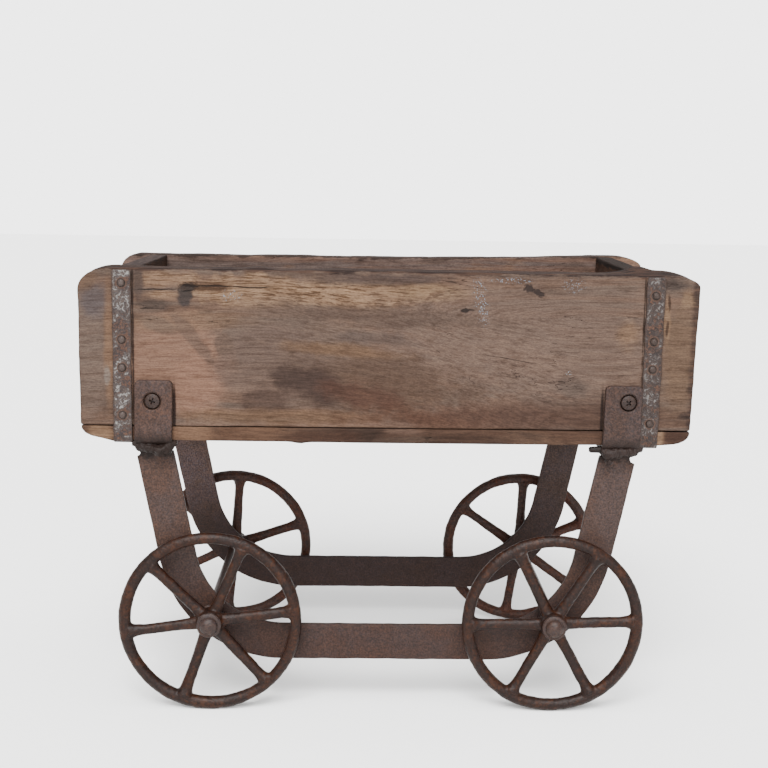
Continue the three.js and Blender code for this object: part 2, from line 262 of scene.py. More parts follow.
FRONT_PATCHES = (
    mark(80, 203, 85, 30, "#876e61"),
    mark(-50, 203, 42, 20, "#7c665a"),
    mark(-112, 192, 28, 27, "#a17a66", 0.8, 0, 0.22, 0.25),
    mark(-99, 182, 13, 15, "#a27a66"),
    mark(-104, 214, 30, 5, "#93745e", 0.6, 3),
    mark(-60, 191, 32, 21, "#7b6459", 0.75, 0, 0.14, 0.16),
    mark(-103.5, 206, 16, 3.8, "#786155", 0.7, -50, 0.3, 0.35),
    mark(-120, 212, 10, 4, "#7f6a5d", 0.6, -20, 0.3, 0.3),
    mark(-86.5, 202, 5.5, 6, "#755e52", 0.85, 0, 0.18, 0.3),
    mark(-124, 222, 9, 3.5, "#5d4d45", 0.85, 0, 0.5, 0.5),
    mark(-131, 234, 2.5, 9, "#5a4a44", 0.8, 0, 0.5, 0.5),
    mark(-107, 227, 4.4, 5.5, "#4f4442", 0.9, 0, 0.25, 0.5),
    mark(-94, 232.3, 13, 2.4, "#5d4231", 0.8, 1, 0.5, 0.5),
    mark(-8, 237.5, 34, 3, "#61504a", 0.8, 1, 0.5, 0.5),
    mark(-2, 217.5, 55, 5, "#6d584d", 0.75, -2, 0.5, 0.4),
    mark(-7, 206, 22, 3.5, "#6b5951", 0.7, -4, 0.5, 0.5),
    mark(-24, 199.5, 28, 3.5, "#86664e", 0.75, -5, 0.5, 0.5),
    mark(-8, 181, 52, 14, "#695143", 0.8, -5, 0.5, 0.4),
    mark(-38, 181, 19, 9, "#523f38", 0.85, -14, 0.5, 0.5),
    mark(-14, 176, 20, 6, "#67473a", 0.7, -12, 0.5, 0.5),
    mark(-53, 184, 10, 6, "#55423a", 0.8, -20, 0.45, 0.5),
    mark(-67, 171.5, 14, 7, "#604a40", 0.8, -8, 0.25, 0.35),
    mark(-55, 163, 52, 4, "#7f614b", 0.75, 0, 0.5, 0.5),
    mark(40, 163.5, 50, 6, "#6a4838", 0.8, 0, 0.6, 0.4),
    mark(95, 165, 60, 9, "#634a3f", 0.85, 0, 0.6, 0.3),
    mark(128, 210, 6, 8, "#98765c", 0.6, 0, 0.5, 0.5),
    mark(101, 181, 7, 6, "#66574f", 0.6, -30, 0.5, 0.5),
    mark(-156, 196, 9, 34, "#846e62", 0.8),
    mark(-154, 224, 7, 9, "#6d605f", 0.8, 0, 0.5, 0.5),
    mark(-158, 235, 6, 4, "#7c604e", 0.75, 30, 0.5, 0.5),
    mark(-147, 200, 2.6, 30, "#95725a", 0.75),
    mark(-148.3, 184, 1.5, 4.5, "#9f938b", 0.5, 0, 0.45, 0.6),
    mark(157, 198, 10, 30, "#806552", 0.85),
    mark(153, 237, 7, 3.5, "#544640", 0.85, 0, 0.45, 0.6),
    mark(160.5, 229, 4, 5, "#a08066", 0.8, 20, 0.45, 0.7),
    mark(149.6, 219, 2, 12, "#9e7d63", 0.8, 0, 0.4, 0.5),
    mark(162, 165.5, 4, 2.5, "#493933", 0.85, 0, 0.45, 0.6),
    # The next four marks are painted shadows: thin dark lines on the wood beside the inner edges of the two
    # saddles and the two straps.
    mark(-112.8, 165, 0.9, 16, "#2f211c", 0.9, 0, 0.4, 0.25),
    mark(-134.3, 202, 0.6, 44, "#33251f", 0.85, 0, 0.5, 0.7),
    mark(116.7, 164, 0.9, 15, "#2f211c", 0.85, 0, 0.4, 0.25),
    mark(137.2, 216, 0.35, 30, "#33241c", 0.75, 0, 0.5, 0.9),
    mark(150.4, 227, 0.9, 5, "#4a352b", 0.85, 4, 0.4, 0.6),
    mark(149.8, 213, 0.8, 4, "#4a352b", 0.8, -4, 0.4, 0.6),
)
# Streaky bands: like the marks, but the colour is that of the light streaks between dark ones
FRONT_BANDS = (
    mark(-120.5, 236, 11, 4.5, "#a6836a"),
    mark(-117.5, 228, 8, 2.4, "#a6836a"),
    mark(-74, 230.8, 34, 8.5, "#ae8b70", 0.95, 0, 0.3, 0.5),
    mark(-24, 229.4, 44, 7.5, "#b18d71", 0.95, -1, 0.35, 0.5),
    mark(24, 231, 20, 4.5, "#a88668", 0.8, -2),
)
FRONT_KNOTS = (
    mark(-104.2, 232.6, 4.4, 2.0, "#3f312b", 0.8, 0, 0.5, 0.6),
    mark(-106.2, 228.8, 3.4, 3.6, "#51453f", 0.7, 15, 0.5, 0.8),
    mark(75.1, 234, 2.6, 2.0, "#3f322e", 0.9, 0, 0.25, 0.4),
    mark(80.2, 231.6, 3.4, 1.5, "#3f322e", 0.9, -30, 0.25, 0.4),
    mark(41.6, 221.8, 2.2, 1.1, "#352a26", 0.9, 0, 0.25, 0.4),
    mark(44.4, 222, 2.2, 0.5, "#352a26", 0.7, 0, 0.4, 0.4),
)
FRONT_CRACKS = (
    {"from": (-134, 230.3), "to": (-109, 231), "half": 0.24, "wander": 1.2},
    {"from": (-103, 232.8), "to": (-82, 232.6), "half": 0.36, "wander": 0.8},
    {"from": (-86, 232.3), "to": (-58, 232.6), "half": 0.3, "wander": 1.2},
    {"from": (-109.5, 233.4), "to": (-98.5, 232.4), "half": 0.5, "wander": 1.6},
    {"from": (50, 198.6), "to": (84, 193.2), "half": 0.13, "wander": 1.0},
    {"from": (-109, 229.4), "to": (-101.5, 230.6), "half": 0.3, "wander": 1.6},
)
FRONT_SPECKS = (
    mark(50, 226, 3.5, 11, "#b6bfca", 0.75, 12),
    mark(66, 238, 9, 1.6, "#b6bfca", 0.7, 0),
    mark(99, 235.5, 6, 3.5, "#b6bfca", 0.5, 0),
    mark(-82, 228, 5, 3, "#b6bfca", 0.7, 0),
    mark(98, 189, 2, 1.2, "#d5dae0", 0.9, 0),
)
FLOOR_PATCHES = (
    mark(-104, 154, 14, 6, "#94715a", 0.85),
    mark(-74, 154, 22, 5, "#7a5a47"),
    mark(-30, 152, 25, 4, "#563c30"),
    mark(-8, 153.5, 6, 3.5, "#46342b", 0.75, 0, 0.5, 0.6),
    mark(10, 156, 10, 1.4, "#7f6355", 0.6),
    mark(45, 152, 18, 3, "#553d31"),
    mark(-152, 153.5, 7, 4, "#a27f64", 0.85),
    mark(147.8, 154, 3, 5, "#aa876c", 0.85),
    mark(158, 154, 6, 5, "#5a4035", 0.85),
)


def wood(name, grain_axis, shift, tones, patches=(), bands=(), knots=(), cracks=(), specks=(),
         dip=0.0, top=BOX_TOP, rise=0.0):
    """Old bare timber: streaked grain along one axis, patches, splits, knots, and painted shade along the
    top edge and the ends.

    Its top edge is at top, and climbs by rise towards the right.
    """
    s = Shader(name)

    def stretch(length, across):
        return tuple(length if axis == grain_axis else across for axis in "xyz")

    def fray(size):
        return s.minus(s.noise(size, 4, 0.65, shift=shift + size), 0.5)

    def place_of(m, rough):
        where = s.spot(*m["at"], *m["half"], m["soft"], m["ragged"], rough, m["turn"])
        return s.times(where, m["amount"])

    wave = s.swing(s.noise(stretch(120, 70), 1, 0.4, shift=shift), 16)
    if dip:
        fall = s.times(s.step(s.x, -60, 130, 0.0, dip), s.step(s.z, 234, 216))
        wave = s.plus(wave, fall)
    flow = s.vector("ADD", s.place, s.node("ShaderNodeCombineXYZ", X=0.0, Y=wave, Z=wave).outputs[0])
    layers = s.noise(stretch(240, 6), 3, 0.55, shift=shift + 3, place=flow)
    streaks = s.noise(stretch(34, 1.5), 4, 0.6, shift=shift + 5, place=flow)
    fibres = s.noise(stretch(8, 0.55), 3, 0.65, shift=shift + 7, place=flow)
    fuzz = s.noise(stretch(1.3, 0.6), 2, 0.6, shift=shift + 19)
    cloud = s.noise(stretch(55, 20), 4, 0.6, shift=shift + 9)
    grime = s.noise(stretch(11, 5), 5, 0.7, shift=shift + 11)

    color = s.blend(s.step(layers, 0.42, 0.58), tones["grey"], tones["mid"])
    color = s.blend(s.step(cloud, 0.5, 0.62, 0.0, 0.6), color, tones["light"])
    color = s.blend(s.step(cloud, 0.48, 0.36, 0.0, 0.6), color, tones["dark"])
    shine = s.noise(stretch(11, 0.9), 4, 0.65, shift=shift + 21, place=flow)
    wide, fine = fray(12), fray(1.6)
    shine = s.step(shine, 0.41, 0.51)
    for band in bands:
        color = s.blend(place_of(band, wide), color, s.blend(shine, "#74563f", band["color"]))
    for patch in patches:
        color = s.blend(place_of(patch, wide), color, patch["color"])
    color = s.mottled(color, streaks, (0.5, 0.4), (0.82, 0.79, 0.77), (0.52, 0.63), (1.13, 1.12, 1.09))
    color = s.mottled(color, fibres, (0.49, 0.39), (0.81, 0.79, 0.79), (0.52, 0.62), (1.15, 1.14, 1.13))
    color = s.mottled(color, fuzz, (0.5, 0.38), (0.88, 0.86, 0.85), (0.5, 0.62), (1.13, 1.12, 1.11))
    color = s.tint(s.step(grime, 0.55, 0.66), color, 0.80, 0.78, 0.76)

    split = s.noise(stretch(60, 4), 3, 0.5, shift=shift + 13, place=flow)
    split = s.step(s.math("ABSOLUTE", s.minus(split, 0.5)), 0.0, 0.005, 1.0, 0.0)
    split = s.both(split, s.step(s.noise(stretch(40, 25), 2, shift=shift + 15), 0.58, 0.66))
    for crack in cracks:
        line = s.crack(*crack["from"], *crack["to"], crack["half"], crack["wander"])
        split = s.math("MAXIMUM", split, line)
    hole = 0.0
    for knot in knots:
        where = place_of(knot, fine)
        color = s.blend(where, color, knot["color"])
        hole = s.math("MAXIMUM", hole, where)
    color = s.blend(s.times(split, 0.85), color, tones["knot"])

    dust = s.step(s.noise(0.7, 1, 0.5, shift=shift + 17), 0.6, 0.68)
    for speck in specks:
        color = s.blend(s.both(dust, place_of(speck, wide)), color, speck["color"])

    # The top edge and both ends are painted darker with the rim tones, as painted shade, frayed by the grime
    # noise.
    ragged = s.swing(grime, 7.0)
    edge_shade_color = s.blend(s.step(streaks, 0.44, 0.58), tones["rim"], tones["streaked_rim_shade"])
    level = s.minus(s.z, s.step(s.x, 10, 150, 0.0, rise)) if rise else s.z
    rim = s.step(s.plus(level, ragged), top - 1.9, top - 0.5, 0.0, 0.95)
    ends = s.step(s.plus(s.math("ABSOLUTE", s.x), ragged), 161.5, 164.5, 0.0, 0.75)
    color = s.blend(s.math("MAXIMUM", rim, ends), color, edge_shade_color)

    height = s.plus(s.times(streaks, 0.6), s.times(fibres, 0.45))
    height = s.minus(height, s.times(split, 1.6))
    height = s.minus(height, s.times(hole, 0.8))
    return s.finish(color, 0.8, s.bump(height, 0.5, 0.8), specular=0.09)


def pitted(s, color, size, shift, dark=0.58, light=1.5):
    """Fine rust grain: dark pits and warmer or bluish raised specks, with faint wider blotches."""
    coarse = s.noise(size * 4, 4, 0.6, shift=shift)
    color = s.mottled(color, coarse, (0.5, 0.38), (0.88, 0.86, 0.85), (0.5, 0.62), (1.09, 1.08, 1.07))
    grain = s.noise(size, 2, 0.6, shift=shift + 2)
    color = s.mottled(color, grain, (0.49, 0.36), (dark, dark * 0.95, dark * 0.93),
                      (0.52, 0.64), (light, light * 0.93, light * 0.85))
    chill = s.noise(size * 1.1, 2, 0.6, shift=shift + 5)
    color = s.tint(s.step(chill, 0.53, 0.64), color, 0.92, 1.08, 1.3)
    return color, grain


def bar_iron(name, tone, warm, shift=0.0, weld=False, rough=0.6, low=None, left=None):
    """Rusted flat bar: violet brown with orange and black grain. low darkens its foot as painted shade, left
    lightens its left leg as painted light.
    """
    s = Shader(name)
    cloud = s.noise(24, 4, 0.6, shift=shift + 1)
    color = s.blend(s.step(cloud, 0.42, 0.6), tone, warm)
    color, grain = pitted(s, color, 0.9, shift + 4)
    if low:
        color = s.tint(s.step(s.z, 110, 50), color, *low)
    if left:
        color = s.tint(s.both(s.step(s.x, -30, -60), s.step(s.z, 60, 100)), color, *left)
    if weld:
        # Dark band round the welds: scorch on the lumps and leg tops, and painted shade on the saddle's bend
        # where it turns under the box.
        scorch_and_shade = s.plus(s.z, s.swing(s.noise(3.5, 4, 0.65, shift=shift), 12))
        near = s.both(s.step(scorch_and_shade, 138.0, 141.5), s.step(scorch_and_shade, 157, 148))
        strong = s.step(s.x, -60, 60, 0.92, 0.74)
        color = s.blend(s.both(near, strong), color, "#2c1a12")
    dents = s.noise(9, 3, 0.5, shift=shift + 10)
    height = s.plus(s.times(grain, 0.7), s.times(dents, 0.5))
    return s.finish(color, rough, s.bump(height, 0.4, 0.8), specular=0.14)


def cast_iron(name, tone, warm, shift=0.0):
    """Dark brown casting with a worn sheen and rust in its hollows."""
    s = Shader(name)
    cloud = s.noise(11, 4, 0.65, shift=shift + 1)
    color = s.blend(s.step(cloud, 0.44, 0.6), tone, warm)
    color, grain = pitted(s, color, 1.1, shift + 4, 0.55, 1.55)
    rust = s.both(s.step(s.noise(3.2, 4, 0.65, shift=shift + 13), 0.54, 0.62), s.step(cloud, 0.42, 0.5))
    color = s.blend(s.times(rust, 0.7), color, "#603822")
    lumps = s.noise(4, 3, 0.5, shift=shift + 10)
    height = s.plus(s.times(grain, 0.7), s.times(lumps, 0.7))
    return s.finish(color, 0.45, s.bump(height, 0.5, 0.9), specular=0.13)


def hoop_iron(name, nails, middle, tones, shift=0.0):
    """Thin zinc-grey strip: pale bloom, rust along its edges and round each nail, and a ring of painted
    shade at each nail head's foot.
    """
    s = Shader(name)
    mottle = s.noise(1.7, 4, 0.65, 0.8, shift + 1)
    patch = s.noise(8, 3, 0.6, shift=shift + 9)
    color = s.blend(s.step(patch, 0.4, 0.6), tones["base"], tones["worn"])
    rusty = s.both(s.step(patch, 0.52, 0.4), s.step(mottle, 0.46, 0.56))
    color = s.blend(s.times(rusty, 0.75), color, "#80563f")
    color, grain = pitted(s, color, 0.9, shift + 4, 0.68, 1.35)
    bloom = s.both(s.step(mottle, 0.51, 0.61), s.step(patch, 0.46, 0.56))
    color = s.blend(s.times(bloom, tones["bloom"]), color, "#bcb2ab")
    side = s.math("ABSOLUTE", s.minus(s.x, middle))
    ragged = s.plus(side, s.swing(mottle, 3))
    color = s.blend(s.step(ragged, 4.0, 4.9, 0.0, 0.8), color, "#513a2e")
    for z in nails:
        away = s.vector("SUBTRACT", s.place, (middle, 0, z))
        away = s.vector("LENGTH", s.vector("MULTIPLY", away, (1, 0, 1)))
        uneven = s.plus(away, s.swing(mottle, 1.6))
        circle = s.both(s.step(uneven, 2.0, 2.3), s.step(uneven, 3.4, 2.6))
        color = s.blend(s.times(circle, 0.75), color, "#74503c")
        # A dark ring at the foot of each nail head is painted shade.
        color = s.blend(s.step(away, 2.45, 2.15, 0.0, 0.85), color, "#33261f")
        color = s.blend(s.step(away, 2.0, 1.75), color, tones["nail"])
    height = s.plus(s.times(mottle, 0.8), s.times(grain, 0.4))
    return s.finish(color, 0.5, s.bump(height, 0.6, 0.9), metallic=0.1, specular=0.2)


def pale_floor():
    """Matt, nearly white floor."""
    s = Shader("pale_floor")
    return s.finish((0.9, 0.9, 0.895, 1), 0.9, s.bump(s.noise(40, 2), 0.05, 0.1), specular=0.1)


# In each set of wood tones, rim and the streaked colour after it are painted shade for a board's top edge
# and ends.
BROWN = {"grey": "#7d685c", "mid": "#846757", "light": "#957563", "dark": "#634c40",
         "knot": "#2e2420", "rim": "#3b2c29", "streaked_rim_shade": "#654a3e"}
TAN = {"grey": "#87726a", "mid": "#937263", "light": "#aa8268", "dark": "#69544a",
       "knot": "#2e2420", "rim": "#43342f", "streaked_rim_shade": "#5c473f"}
# The end boards' tones are darker than the planks', as painted shade inside the box.
LEFT_END = {"grey": "#6d5145", "mid": "#745241", "light": "#84604c", "dark": "#553c30",
            "knot": "#2e2420", "rim": "#513f3b", "streaked_rim_shade": "#67534d"}
RIGHT_END = {**LEFT_END, "rim": "#34261f", "streaked_rim_shade": "#412f28"}
EDGE = {"grey": "#614b3f", "mid": "#654a3c", "light": "#755847", "dark": "#4c382f",
        "knot": "#2c211c", "rim": "#50392e", "streaked_rim_shade": "#6e5241"}
LEFT_STRAP = {"base": "#4b3a36", "worn": "#67564f", "bloom": 0.9, "nail": "#67544c"}
RIGHT_STRAP = {"base": "#43322c", "worn": "#56443d", "bloom": 0.5, "nail": "#57433a"}

# Shapes


def shown(name, data):
    """An object for a mesh, light or camera, put in the scene."""
    obj = bpy.data.objects.new(name, data)
    bpy.context.scene.collection.objects.link(obj)
    return obj


def drawn(name, shape):
    """The mesh of a finished bmesh."""
    mesh = bpy.data.meshes.new(name)
    shape.to_mesh(mesh)
    shape.free()
    return mesh


def piece(name, verts, faces, body="cart", slot=None):
    """A smooth mesh from millimetre points. One with a slot rides on a body."""
    mesh = bpy.data.meshes.new(name)
    mesh.from_pydata([Vector(v) * MM for v in verts], [], faces)
    mesh.validate()
    shape = bmesh.new()
    shape.from_mesh(mesh)
    bmesh.ops.remove_doubles(shape, verts=shape.verts, dist=1e-7)
    bmesh.ops.recalc_face_normals(shape, faces=shape.faces)
    shape.to_mesh(mesh)
    shape.free()
    obj = smooth_shade(shown(name, mesh))
    if slot:
        dress(obj, body)
    return obj


def dress(obj, body, material=None):
    """Sets the body that an object rides on and its material."""
    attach(obj, body)
    if material:
        obj.data.materials.clear()
        obj.data.materials.append(material)


def applied(obj):
    """Turns an object's modifiers into its mesh."""
    graph = bpy.context.evaluated_depsgraph_get()
    mesh = bpy.data.meshes.new_from_object(obj.evaluated_get(graph))
    obj.modifiers.clear()
    obj.data = mesh
    return obj


def joined(name, parts):
    """One object from several, without their materials."""
    shape = bmesh.new()
    for part in parts:
        shape.from_mesh(part.data)
    mesh = drawn(name, shape)
    for part in parts:
        bpy.data.objects.remove(part)
    return shown(name, mesh)


def smooth_shade(obj, angle=None):
    """Smooth shading, with sharp edges where faces meet at more than the angle in degrees."""
    for face in obj.data.polygons:
        face.use_smooth = True
    if angle:
        obj.data.set_sharp_from_angle(angle=math.radians(angle))
    return obj


def fused(obj, voxel, rounds):
    """Melts overlapping solids into one skin with soft inner corners, as a casting has."""
    remesh = obj.modifiers.new("fuse", "REMESH")
    remesh.mode = "VOXEL"
    remesh.voxel_size = voxel * MM
    melt = obj.modifiers.new("melt", "SMOOTH")
    melt.factor = 0.5
    melt.iterations = rounds
    return smooth_shade(applied(obj))


def roughened(obj, layers):
    """Moves each point along its normal by layers of (height, size) noise, in millimetres."""
    mesh = obj.data
    normals = [v.normal.copy() for v in mesh.vertices]
    for vertex, normal in zip(mesh.vertices, normals):
        spot = vertex.co / MM
        push = 0.0
        for height, size in layers:
            at = Vector([place / size for place in spot])
            push += height * noise.noise(at + Vector((size, size * 2, 7.3)))
        vertex.co += normal * push * MM
    mesh.update()
    return obj


def edge_steps(low, high, step, near=(0, 0.3, 0.7, 1.2, 1.9, 3.0)):
    """Places from low to high: close together at both ends and about a step apart between."""
    first = [low + n for n in near]
    last = [high - n for n in reversed(near)]
    count = max(1, round((last[0] - first[-1]) / step))
    between = [first[-1] + (last[0] - first[-1]) * i / count for i in range(1, count)]
    return first + between + last


def block_grid(xs, ys, zs):
    """Points and faces of a box's skin, divided at the given places."""
    tops = (len(xs) - 1, len(ys) - 1, len(zs) - 1)
    numbers = {}
    points = []

    def corner(i, j, k):
        if (i, j, k) not in numbers:
            numbers[(i, j, k)] = len(points)
            points.append((xs[i], ys[j], zs[k]))
        return numbers[(i, j, k)]

    faces = []
    for axis in range(3):
        u, v = [a for a in range(3) if a != axis]
        for end in (0, tops[axis]):
            for i in range(tops[u]):
                for j in range(tops[v]):
                    loop = []
                    for du, dv in ((0, 0), (1, 0), (1, 1), (0, 1)):
                        index = [0, 0, 0]
                        index[axis] = end
                        index[u] = i + du
                        index[v] = j + dv
                        loop.append(corner(*index))
                    faces.append(loop)
    return points, faces


# How long a timber's unevenness is, in millimetres, and how much longer it is along the grain
EDGE_LENGTH = 7.0
WAVE_LENGTH = 22.0
FINE_LENGTH = 3.0
GRAIN_STRETCH = 6.0
WAVE_HEIGHT = 0.35


def worn_block(low, high, wear, seed, reshape, step, grain=0):
    """A timber with rounded, uneven edges and slightly wavy faces. reshape moves each of its points."""
    points, faces = block_grid(*[edge_steps(low[a], high[a], step[a]) for a in range(3)])
    lengths = [1.0, 1.0, 1.0]
    lengths[grain] = GRAIN_STRETCH

    def uneven(spot, length, shift):
        return noise.noise(Vector([spot[a] / (length * lengths[a]) + shift for a in range(3)]))

    shaped = []
    for point in points:
        spot = Vector(point)
        radius = wear * (1 + 0.9 * uneven(spot, EDGE_LENGTH, seed))
        inner = Vector([min(max(spot[a], low[a] + radius), high[a] - radius) for a in range(3)])
        out = spot - inner
        out = out.normalized() if out.length > 0 else Vector((0, 0, 0))
        push = WAVE_HEIGHT * uneven(spot, WAVE_LENGTH, seed * 2)
        push += WAVE_HEIGHT * 0.3 * (uneven(spot, FINE_LENGTH, seed * 3) - 1)
        shaped.append(reshape(inner + out * (radius + push)))
    return shaped, faces


# Ends of the long planks: place of the top and of the bottom corner, then how far from the end the
# top edge starts to fall, how far it falls and how square the curve is
PLANK_ENDS = {
    "front": {
        "left": {"top": -163.3, "bottom": -162.9, "run": 17.0, "drop": 12.0, "square": 2.05},
        "right": {"top": 167.0, "bottom": 165.2, "run": 25.0, "drop": 8.0, "square": 2.6},
    },
    "back": {
        "left": {"top": -163.3, "bottom": -162.8, "run": 13.0, "drop": 12.0, "square": 2.3},
        "right": {"top": 163.4, "bottom": 163.0, "run": 17.0, "drop": 7.5, "square": 2.2},
    },
}
SLIVER_X = -67
SLIVER_RISE = 0.9
BACK_RISE = 2.8
END_TWIST = 2.6


def plank_top(x, face):
    """Height of a long plank's top edge, which is rounded off at both ends."""
    end = PLANK_ENDS[face]["left" if x < 0 else "right"]
    reach = min(1.0, max(0.0, 1 - (abs(end["top"]) - abs(x)) / end["run"]))
    level = max(0.0, 1 - reach ** end["square"]) ** (1 / end["square"])
    return BOX_TOP - end["drop"] * (1 - level)


def ramp(value, low, high):
    """A straight ramp from 0 at low to 1 at high, level beyond them."""
    return max(0.0, min(1.0, (value - low) / (high - low)))


def front_lift(x, y):
    """The near plank's sliver, and its inner top edge, which stands higher at both ends."""
    inner = ramp(y, -HALF_WIDTH + 1, -HALF_WIDTH + 12)
    right = ramp(x, 118, 134) * ramp(x, 168, 150)
    ridge = ramp(x, 127, 133) * ramp(x, 144, 138)
    left = ramp(x, -130, -142) * ramp(x, -166, -156)
    sliver = max(0.0, 1 - abs(x - SLIVER_X) / 9)
    return SLIVER_RISE * sliver + inner * (1.9 * right + 1.7 * ridge + 0.7 * left)


# The floor board's underside rises towards its ends: (distance from the start of the rise, rise)
FLOOR_ENDS = {
    "left": {"start": 144.0, "end": 162.5,
             "rise": ((0, 0), (7.5, 0.9), (12, 1.8), (14.4, 2.6), (16.8, 4.2), (18.5, 6.8))},
    "right": {"start": 147.0, "end": 164.8,
              "rise": ((0, 0), (9.4, 0.8), (13, 1.7), (15.4, 3.0), (16.9, 4.6), (17.8, 6.8))},
}
FLOOR_LUMP_X = -45.7


def floor_under(x):
    """Height of the floor board's underside, which is planed away towards both ends."""
    data = FLOOR_ENDS["left" if x < 0 else "right"]
    away = abs(x) - data["start"]
    sag = 1.1 if x < 0 else 0.0
    height = FLOOR_UNDER - sag * max(0.0, 1 - abs(away) / 8)
    height -= 0.8 * math.exp(-((x - FLOOR_LUMP_X) / 3.5) ** 2)
    for (a, low), (b, high) in zip(data["rise"], data["rise"][1:]):
        height += (high - low) * max(0.0, min(1.0, (away - a) / (b - a)))
    return min(height, FLOOR_TOP - 0.4)


def plank(face, seed):
    """A long plank of the box with its worn ends and uneven top edge."""
    sign = FACES[face]
    near, far = sorted((sign * HALF_WIDTH, sign * (HALF_WIDTH - PLANK_THICK)))
    low = (-BOX_LENGTH / 2, near, FLOOR_TOP + 0.1)
    high = (BOX_LENGTH / 2, far, BOX_TOP)

    def reshape(p):
        share = (p.z - low[2]) / (high[2] - low[2])
        end = PLANK_ENDS[face]["left" if p.x < 0 else "right"]
        x = p.x * abs(end["bottom"] + (end["top"] - end["bottom"]) * share) / (BOX_LENGTH / 2)
        lift = 0.5 * noise.noise(Vector((x / 26, seed, 0.5))) + 0.2 * noise.noise(Vector((x / 7, seed, 3.5)))
        if face == "front":
            lift += front_lift(x, p.y)
        else:
            lift += BACK_RISE * ramp(x, 20, 140) ** 1.5
        return Vector((x, p.y, low[2] + share * (plank_top(x, face) - low[2] + lift)))

    points, faces = worn_block(low, high, 1.1, seed, reshape, (2.5, 3, 3))
    obj = piece(f"{face}_plank_timber", points, faces, "cart", "wood")
    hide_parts(f"{face}_plank")
    return obj


def floor_board():
    """The board under the box, planed away at both ends."""
    low = (-BOX_LENGTH / 2 + 0.5, -HALF_WIDTH, FLOOR_UNDER)
    high = (BOX_LENGTH / 2 - 0.5, HALF_WIDTH, FLOOR_TOP - 0.1)

    def reshape(p):
        share = (high[2] - p.z) / (high[2] - low[2])
        x = p.x * FLOOR_ENDS["left" if p.x < 0 else "right"]["end"] / high[0]
        return Vector((x, p.y, high[2] - share * (high[2] - floor_under(x))))

    points, faces = worn_block(low, high, 0.8, 4.7, reshape, (2.5, 5, 2))
    obj = piece("floor_board_timber", points, faces, "cart", "wood")
    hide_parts("floor_board")
    return obj


def end_board(side, seed):
    """A short board that closes the box. The right one's top edge climbs towards the back."""
    sign = SIDES[side]
    near, far = sorted((sign * END_BOARD_INNER, sign * (END_BOARD_INNER + END_BOARD_THICK)))
    half = HALF_WIDTH - PLANK_THICK - 0.1
    low = (near, -half, FLOOR_TOP + 0.1)
    high = (far, half, END_BOARD_TOP)

    def reshape(p):
        share = (p.z - low[2]) / (high[2] - low[2])
        lift = END_TWIST * share * ramp(p.y, -half, half) if side == "right" else 0.0
        return Vector((p.x, p.y, p.z + lift))

    points, faces = worn_block(low, high, 0.9, seed, reshape, (3, 3, 3), grain=1)
    obj = piece(f"{side}_end_timber", points, faces, "cart", "wood")
    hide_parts(f"{side}_end_board")
    return obj


def rounded_section(half_wide, half_thick, radius, steps=3):
    """A rectangle with rounded corners, as (across, through) pairs."""
    section = []
    for cx, cy, start in ((1, 1, 0), (-1, 1, 90), (-1, -1, 180), (1, -1, 270)):
        for i in range(steps + 1):
            turn = math.radians(start + 90 * i / steps)
            section.append((cx * (half_wide - radius) + radius * math.cos(turn),
                            cy * (half_thick - radius) + radius * math.sin(turn)))
    return section


# Number of strips that a flat bar's wide faces are divided into
ACROSS_STEPS = 6


def swept(stations, half_wide, half_thick, radius, end_corner=0.0, wander=0.0, seed=0.0):
    """A flat bar along stations of (point, across, through, distance), with capped ends."""
    total = stations[-1][3]
    section = rounded_section(half_wide, half_thick, radius)
    wide = []
    for i, (a, t) in enumerate(section):
        wide.append((a, t))
        b, u = section[(i + 1) % len(section)]
        if abs(b - a) > half_wide:
            wide += [(a + (b - a) * j / ACROSS_STEPS, t) for j in range(1, ACROSS_STEPS)]
    points, faces = [], []
    count = len(wide)
    for point, across, through, distance in stations:
        near = min(distance, total - distance)
        trim = 0.0
        if end_corner and near < end_corner:
            trim = end_corner - math.sqrt(max(0.0, end_corner ** 2 - (end_corner - near) ** 2))
        thin = 1.0
        if near < radius:
            thin = 1 - radius / half_thick * (1 - math.sqrt(max(0.0, 1 - (1 - near / radius) ** 2)))
        for a, t in wide:
            edge = wander * noise.noise(Vector((distance / 9, math.copysign(3, a), seed)))
            scale = (half_wide - trim + edge) / half_wide
            points.append(point + across * a * scale + through * t * thin)
    rings = len(stations)
    for i in range(rings - 1):
        for j in range(count):
            k = (j + 1) % count
            faces.append((i * count + j, i * count + k, (i + 1) * count + k, (i + 1) * count + j))
    faces.append(tuple(range(count - 1, -1, -1)))
    faces.append(tuple((rings - 1) * count + j for j in range(count)))
    return points, faces


# Stations near a bar's ends, where its corners are rounded, and how far in the even ones start
END_STEPS = (0, 0.15, 0.35, 0.6, 1.0, 1.6, 2.4, 3.4)
EVEN_START = 4


def along_path(parts, step):
    """Stations about a step apart along a chain of lines and arcs."""
    total = sum(part["length"] for part in parts)
    distances = set(END_STEPS) | {total - e for e in END_STEPS}
    count = max(1, round(total / step))
    evenly = [total * i / count for i in range(1, count)]
    distances |= {d for d in evenly if EVEN_START < d < total - EVEN_START}
    stations = []
    for distance in sorted(distances):
        left = distance
        for part in parts:
            if left <= part["length"] + 1e-6 or part is parts[-1]:
                point, across, through = part["at"](min(left, part["length"]))
                stations.append((point, across, through, distance))
                break
            left -= part["length"]
    return stations


def line_part(a, b, frame_of):
    """A straight part of a bar's path."""
    a, b = Vector(a), Vector(b)
    heading = (b - a).normalized()
    across, through = frame_of(heading)
    return {"length": (b - a).length, "at": lambda d: (a + heading * d, across, through)}


def arc_part(centre, radius, start, end, turn, frame_of):
    """An arc whose point at an angle is turn(angle), a unit vector from the centre."""
    centre = Vector(centre)
    length = abs(end - start) * radius
    way = 1 if end > start else -1

    def at(d):
        angle = start + way * d / radius
        heading = (turn(angle + way * 0.001) - turn(angle)).normalized()
        across, through = frame_of(heading)
        return centre + turn(angle) * radius, across, through

    return {"length": length, "at": at}


